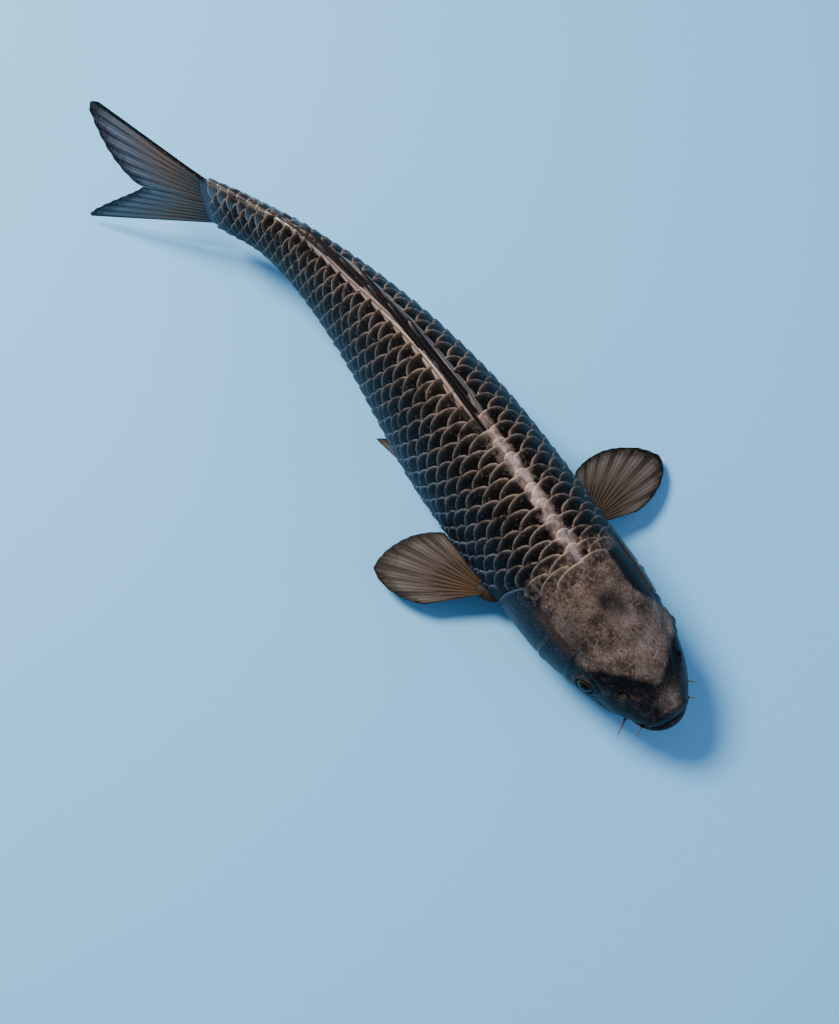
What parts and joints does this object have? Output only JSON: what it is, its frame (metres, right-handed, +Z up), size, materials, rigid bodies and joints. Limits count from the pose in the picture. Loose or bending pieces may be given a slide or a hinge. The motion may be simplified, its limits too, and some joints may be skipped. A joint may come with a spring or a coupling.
{
  "type": "koi carp",
  "caption": "Life-size dark koi carp with a jointed body, hinged jaw and gill covers, moving eyes and barbels, and fins that spread, fold and sweep.",
  "frame": {"origin": "middle of the bounding box's underside, on the floor that the belly rests on", "axes": "+X towards the head, +Y towards the fish's left side, +Z up through the back"},
  "size_m": [0.4943, 0.1787, 0.1267],
  "materials": {
    "scaled_skin": "wet, glossy scales",
    "head_skin": "wet, smooth skin",
    "fin_web": "wet, thin skin over bony rays",
    "bone": "matt bone",
    "eye": "polished, wet",
    "swim_bladder": "satin membrane",
    "gill": "wet, soft tissue"
  },
  "bodies": {
    "trunk_front": {"trunk_front": "scaled_skin", "backbone_trunk_front": "bone", "swim_bladder_front": "swim_bladder", "swim_bladder_rear": "swim_bladder"},
    "head": {"head_shell": "head_skin", "gills_left": "gill", "gills_right": "gill"},
    "trunk_middle": {"trunk_middle": "scaled_skin", "backbone_trunk_middle": "bone"},
    "trunk_rear": {"trunk_rear": "scaled_skin", "backbone_trunk_rear": "bone"},
    "stalk_front": {"stalk_front": "scaled_skin", "backbone_stalk_front": "bone"},
    "stalk_rear": {"stalk_rear": "scaled_skin", "backbone_stalk_rear": "bone"},
    "anal_fin": {"anal_fin": "fin_web"},
    "barbel_front_left": {"barbel_front_left": "head_skin"},
    "barbel_front_right": {"barbel_front_right": "head_skin"},
    "barbel_rear_left": {"barbel_rear_left": "head_skin"},
    "barbel_rear_right": {"barbel_rear_right": "head_skin"},
    "dorsal_ray_01": {"dorsal_ray_01": "fin_web"},
    "dorsal_ray_02": {"dorsal_ray_02": "fin_web"},
    "dorsal_ray_03": {"dorsal_ray_03": "fin_web"},
    "dorsal_ray_04": {"dorsal_ray_04": "fin_web"},
    "dorsal_ray_05": {"dorsal_ray_05": "fin_web"},
    "dorsal_ray_06": {"dorsal_ray_06": "fin_web"},
    "dorsal_ray_07": {"dorsal_ray_07": "fin_web"},
    "dorsal_ray_08": {"dorsal_ray_08": "fin_web"},
    "dorsal_ray_09": {"dorsal_ray_09": "fin_web"},
    "dorsal_ray_10": {"dorsal_ray_10": "fin_web"},
    "dorsal_ray_11": {"dorsal_ray_11": "fin_web"},
    "dorsal_ray_12": {"dorsal_ray_12": "fin_web"},
    "dorsal_ray_13": {"dorsal_ray_13": "fin_web"},
    "dorsal_spine": {"dorsal_spine": "fin_web"},
    "eye_left": {"eye_left": "eye"},
    "eye_right": {"eye_right": "eye"},
    "gill_cover_left": {"gill_cover_left": "head_skin"},
    "gill_cover_right": {"gill_cover_right": "head_skin"},
    "lower_jaw": {"lower_jaw": "head_skin"},
    "pectoral_blade_left_1": {"pectoral_blade_left_1": "fin_web"},
    "pectoral_blade_left_2": {"pectoral_blade_left_2": "fin_web"},
    "pectoral_blade_left_3": {"pectoral_blade_left_3": "fin_web"},
    "pectoral_blade_left_4": {"pectoral_blade_left_4": "fin_web"},
    "pectoral_blade_right_1": {"pectoral_blade_right_1": "fin_web"},
    "pectoral_blade_right_2": {"pectoral_blade_right_2": "fin_web"},
    "pectoral_blade_right_3": {"pectoral_blade_right_3": "fin_web"},
    "pectoral_blade_right_4": {"pectoral_blade_right_4": "fin_web"},
    "pectoral_root_left": {"pectoral_root_left": "head_skin"},
    "pectoral_root_right": {"pectoral_root_right": "head_skin"},
    "pelvic_fin_left": {"pelvic_fin_left": "fin_web"},
    "pelvic_fin_right": {"pelvic_fin_right": "fin_web"},
    "tail_lobe_lower": {"tail_lobe_lower": "fin_web"},
    "tail_lobe_upper": {"tail_lobe_upper": "fin_web"},
    "tail_root": {"tail_root": "scaled_skin"},
    "upper_lip": {"upper_lip": "head_skin"}
  },
  "joints": [
    {"name": "neck_yaw", "type": "hinge", "parent": "trunk_front", "child": "head", "pos_m": [0.132, -0.01378, 0.05831], "axis": [0, 0, 1], "range_deg": [-8, 8]},
    {"name": "spine_front_yaw", "type": "hinge", "parent": "trunk_front", "child": "trunk_middle", "pos_m": [0.01761, -0.00195, 0.06434], "axis": [0, 0, 1], "range_deg": [-10, 10]},
    {"name": "spine_middle_yaw", "type": "hinge", "parent": "trunk_middle", "child": "trunk_rear", "pos_m": [-0.0322, 0.0023, 0.06251], "axis": [0, 0, 1], "range_deg": [-12, 12]},
    {"name": "spine_rear_yaw", "type": "hinge", "parent": "trunk_rear", "child": "stalk_front", "pos_m": [-0.08218, 0.00238, 0.06005], "axis": [0, 0, 1], "range_deg": [-16, 10]},
    {"name": "stalk_yaw", "type": "hinge", "parent": "stalk_front", "child": "stalk_rear", "pos_m": [-0.12682, -0.00285, 0.05791], "axis": [0, 0, 1], "range_deg": [-18, 10]},
    {"name": "tail_yaw", "type": "hinge", "parent": "stalk_rear", "child": "tail_root", "pos_m": [-0.16019, -0.01328, 0.05707], "axis": [0, 0, 1], "range_deg": [-28, 18]},
    {"name": "jaw_open", "type": "hinge", "parent": "head", "child": "lower_jaw", "pos_m": [0.20533, -0.01874, 0.0241], "axis": [0.0846, 0.9964, 0], "range_deg": [0, 25]},
    {"name": "lip_slide", "type": "slide", "parent": "head", "child": "upper_lip", "axis": [0.9904, -0.1382, 0], "range_m": [0, 0.006]},
    {"name": "gill_cover_left_open", "type": "hinge", "parent": "head", "child": "gill_cover_left", "pos_m": [0.18617, 0.01476, 0.03911], "axis": [0, 0, -1], "range_deg": [0, 18]},
    {"name": "gill_cover_right_open", "type": "hinge", "parent": "head", "child": "gill_cover_right", "pos_m": [0.18258, -0.04941, 0.03911], "axis": [0, 0, 1], "range_deg": [0, 18]},
    {"name": "eye_left_turn", "type": "hinge", "parent": "head", "child": "eye_left", "pos_m": [0.20337, 0.00783, 0.04482], "axis": [0, 0, 1], "range_deg": [-15, 15]},
    {"name": "eye_right_turn", "type": "hinge", "parent": "head", "child": "eye_right", "pos_m": [0.19931, -0.04468, 0.04482], "axis": [0, 0, 1], "range_deg": [-15, 15]},
    {"name": "barbel_front_left_swing", "type": "hinge", "parent": "upper_lip", "child": "barbel_front_left", "pos_m": [0.24061, -0.00692, 0.0319], "axis": [0.1582, 0.9874, 0], "range_deg": [-12, 25]},
    {"name": "barbel_rear_left_swing", "type": "hinge", "parent": "upper_lip", "child": "barbel_rear_left", "pos_m": [0.232, -0.00118, 0.0285], "axis": [0.1382, 0.9904, 0], "range_deg": [-12, 25]},
    {"name": "barbel_front_right_swing", "type": "hinge", "parent": "upper_lip", "child": "barbel_front_right", "pos_m": [0.23555, -0.03852, 0.0319], "axis": [0.1582, 0.9874, 0], "range_deg": [-12, 25]},
    {"name": "barbel_rear_right_swing", "type": "hinge", "parent": "upper_lip", "child": "barbel_rear_right", "pos_m": [0.22636, -0.04159, 0.0285], "axis": [0.1382, 0.9904, 0], "range_deg": [-12, 25]},
    {"name": "pectoral_left_flap", "type": "hinge", "parent": "trunk_front", "child": "pectoral_root_left", "pos_m": [0.12877, 0.0206, 0.0197], "axis": [0.9954, -0.0954, 0], "range_deg": [-3, 20]},
    {"name": "pectoral_left_spread", "type": "hinge", "parent": "pectoral_root_left", "child": "pectoral_blade_left_1", "pos_m": [0.12877, 0.0206, 0.0197], "axis": [-0.0166, -0.1729, -0.9848], "range_deg": [-68, 4]},
    {"name": "pectoral_left_spread_2", "type": "hinge", "parent": "pectoral_root_left", "child": "pectoral_blade_left_2", "pos_m": [0.12877, 0.0206, 0.0197], "axis": [-0.0166, -0.1729, -0.9848], "range_deg": [-54.42, 3.22]},
    {"name": "pectoral_left_spread_3", "type": "hinge", "parent": "pectoral_root_left", "child": "pectoral_blade_left_3", "pos_m": [0.12877, 0.0206, 0.0197], "axis": [-0.0166, -0.1729, -0.9848], "range_deg": [-40.82, 2.42]},
    {"name": "pectoral_left_spread_4", "type": "hinge", "parent": "pectoral_root_left", "child": "pectoral_blade_left_4", "pos_m": [0.12877, 0.0206, 0.0197], "axis": [-0.0166, -0.1729, -0.9848], "range_deg": [-24.3, 1.45]},
    {"name": "pectoral_right_flap", "type": "hinge", "parent": "trunk_front", "child": "pectoral_root_right", "pos_m": [0.12229, -0.04694, 0.0197], "axis": [-0.9954, 0.0954, 0], "range_deg": [-3, 20]},
    {"name": "pectoral_right_spread", "type": "hinge", "parent": "pectoral_root_right", "child": "pectoral_blade_right_1", "pos_m": [0.12229, -0.04694, 0.0197], "axis": [-0.0166, -0.1729, 0.9848], "range_deg": [0, 44]},
    {"name": "pectoral_right_spread_2", "type": "hinge", "parent": "pectoral_root_right", "child": "pectoral_blade_right_2", "pos_m": [0.12229, -0.04694, 0.0197], "axis": [-0.0166, -0.1729, 0.9848], "range_deg": [0, 37.42]},
    {"name": "pectoral_right_spread_3", "type": "hinge", "parent": "pectoral_root_right", "child": "pectoral_blade_right_3", "pos_m": [0.12229, -0.04694, 0.0197], "axis": [-0.0166, -0.1729, 0.9848], "range_deg": [0, 30.82]},
    {"name": "pectoral_right_spread_4", "type": "hinge", "parent": "pectoral_root_right", "child": "pectoral_blade_right_4", "pos_m": [0.12229, -0.04694, 0.0197], "axis": [-0.0166, -0.1729, 0.9848], "range_deg": [0, 22.9]},
    {"name": "pelvic_left_spread", "type": "hinge", "parent": "trunk_front", "child": "pelvic_fin_left", "pos_m": [0.04742, 0.01815, 0.003], "axis": [0, 0, -1], "range_deg": [0, 35]},
    {"name": "pelvic_right_spread", "type": "hinge", "parent": "trunk_front", "child": "pelvic_fin_right", "pos_m": [0.04249, -0.02799, 0.003], "axis": [0, 0, 1], "range_deg": [0, 35]},
    {"name": "anal_fin_sway", "type": "hinge", "parent": "stalk_front", "child": "anal_fin", "pos_m": [-0.10161, 0.00079, 0.02382], "axis": [0.9952, 0.0982, 0], "range_deg": [-20, 20]},
    {"name": "tail_upper_spread", "type": "hinge", "parent": "tail_root", "child": "tail_lobe_upper", "pos_m": [-0.1715, -0.0181, 0.05224], "axis": [-0.4228, 0.9062, 0], "range_deg": [-2.5, 8]},
    {"name": "tail_lower_spread", "type": "hinge", "parent": "tail_root", "child": "tail_lobe_lower", "pos_m": [-0.1715, -0.0181, 0.05224], "axis": [-0.4228, 0.9062, 0], "range_deg": [-2.1, 0.7]},
    {"name": "dorsal_raise", "type": "hinge", "parent": "trunk_front", "child": "dorsal_spine", "pos_m": [0.0689, -0.00792, 0.11196], "axis": [0.1199, 0.954, 0.2748], "range_deg": [0, 48]},
    {"name": "dorsal_raise_01", "type": "hinge", "parent": "trunk_front", "child": "dorsal_ray_01", "pos_m": [0.05774, -0.00677, 0.1126], "axis": [0.1092, 0.9551, 0.2755], "range_deg": [0, 48]},
    {"name": "dorsal_raise_02", "type": "hinge", "parent": "trunk_front", "child": "dorsal_ray_02", "pos_m": [0.04657, -0.00559, 0.11275], "axis": [0.0993, 0.9561, 0.2756], "range_deg": [0, 48]},
    {"name": "dorsal_raise_03", "type": "hinge", "parent": "trunk_front", "child": "dorsal_ray_03", "pos_m": [0.03539, -0.00439, 0.11236], "axis": [0.0875, 0.9574, 0.2751], "range_deg": [0, 48]},
    {"name": "dorsal_raise_04", "type": "hinge", "parent": "trunk_front", "child": "dorsal_ray_04", "pos_m": [0.02423, -0.00317, 0.11143], "axis": [0.0762, 0.9587, 0.2742], "range_deg": [0, 48]},
    {"name": "dorsal_raise_05", "type": "hinge", "parent": "trunk_middle", "child": "dorsal_ray_05", "pos_m": [0.01308, -0.00196, 0.11006], "axis": [0.0646, 0.9598, 0.2731], "range_deg": [0, 48]},
    {"name": "dorsal_raise_06", "type": "hinge", "parent": "trunk_middle", "child": "dorsal_ray_06", "pos_m": [0.00195, -0.00081, 0.10838], "axis": [0.0513, 0.9609, 0.2722], "range_deg": [0, 48]},
    {"name": "dorsal_raise_07", "type": "hinge", "parent": "trunk_middle", "child": "dorsal_ray_07", "pos_m": [-0.00919, 0.00022, 0.10647], "axis": [0.0327, 0.962, 0.271], "range_deg": [0, 48]},
    {"name": "dorsal_raise_08", "type": "hinge", "parent": "trunk_middle", "child": "dorsal_ray_08", "pos_m": [-0.02036, 0.00109, 0.10416], "axis": [0.0081, 0.9631, 0.2691], "range_deg": [0, 48]},
    {"name": "dorsal_raise_09", "type": "hinge", "parent": "trunk_middle", "child": "dorsal_ray_09", "pos_m": [-0.03152, 0.00176, 0.10153], "axis": [-0.0153, 0.9634, 0.2678], "range_deg": [0, 48]},
    {"name": "dorsal_raise_10", "type": "hinge", "parent": "trunk_rear", "child": "dorsal_ray_10", "pos_m": [-0.04266, 0.00222, 0.09875], "axis": [-0.0368, 0.9629, 0.2674], "range_deg": [0, 48]},
    {"name": "dorsal_raise_11", "type": "hinge", "parent": "trunk_rear", "child": "dorsal_ray_11", "pos_m": [-0.0538, 0.00243, 0.096], "axis": [-0.0562, 0.9618, 0.2678], "range_deg": [0, 48]},
    {"name": "dorsal_raise_12", "type": "hinge", "parent": "trunk_rear", "child": "dorsal_ray_12", "pos_m": [-0.06496, 0.0024, 0.09321], "axis": [-0.0802, 0.9604, 0.2669], "range_deg": [0, 48]},
    {"name": "dorsal_raise_13", "type": "hinge", "parent": "trunk_rear", "child": "dorsal_ray_13", "pos_m": [-0.07611, 0.00213, 0.09028], "axis": [-0.1024, 0.9584, 0.2665], "range_deg": [0, 48]}
  ],
  "couplings": [
    {"joint": "lip_slide", "follows": "jaw_open", "m_per_rad": 0.01375},
    {"joint": "gill_cover_right_open", "follows": "gill_cover_left_open", "ratio": 1},
    {"joint": "pectoral_left_spread_2", "follows": "pectoral_left_spread", "ratio": 0.8},
    {"joint": "pectoral_left_spread_3", "follows": "pectoral_left_spread", "ratio": 0.6},
    {"joint": "pectoral_left_spread_4", "follows": "pectoral_left_spread", "ratio": 0.357},
    {"joint": "pectoral_right_spread_2", "follows": "pectoral_right_spread", "ratio": 0.85},
    {"joint": "pectoral_right_spread_3", "follows": "pectoral_right_spread", "ratio": 0.7},
    {"joint": "pectoral_right_spread_4", "follows": "pectoral_right_spread", "ratio": 0.52},
    {"joint": "pelvic_right_spread", "follows": "pelvic_left_spread", "ratio": 1},
    {"joint": "tail_lower_spread", "follows": "tail_upper_spread", "ratio": -0.25},
    {"joint": "dorsal_raise_01", "follows": "dorsal_raise", "ratio": 1},
    {"joint": "dorsal_raise_02", "follows": "dorsal_raise", "ratio": 1},
    {"joint": "dorsal_raise_03", "follows": "dorsal_raise", "ratio": 1},
    {"joint": "dorsal_raise_04", "follows": "dorsal_raise", "ratio": 1},
    {"joint": "dorsal_raise_05", "follows": "dorsal_raise", "ratio": 1},
    {"joint": "dorsal_raise_06", "follows": "dorsal_raise", "ratio": 1},
    {"joint": "dorsal_raise_07", "follows": "dorsal_raise", "ratio": 1},
    {"joint": "dorsal_raise_08", "follows": "dorsal_raise", "ratio": 1},
    {"joint": "dorsal_raise_09", "follows": "dorsal_raise", "ratio": 1},
    {"joint": "dorsal_raise_10", "follows": "dorsal_raise", "ratio": 1},
    {"joint": "dorsal_raise_11", "follows": "dorsal_raise", "ratio": 1},
    {"joint": "dorsal_raise_12", "follows": "dorsal_raise", "ratio": 1},
    {"joint": "dorsal_raise_13", "follows": "dorsal_raise", "ratio": 1}
  ]
}
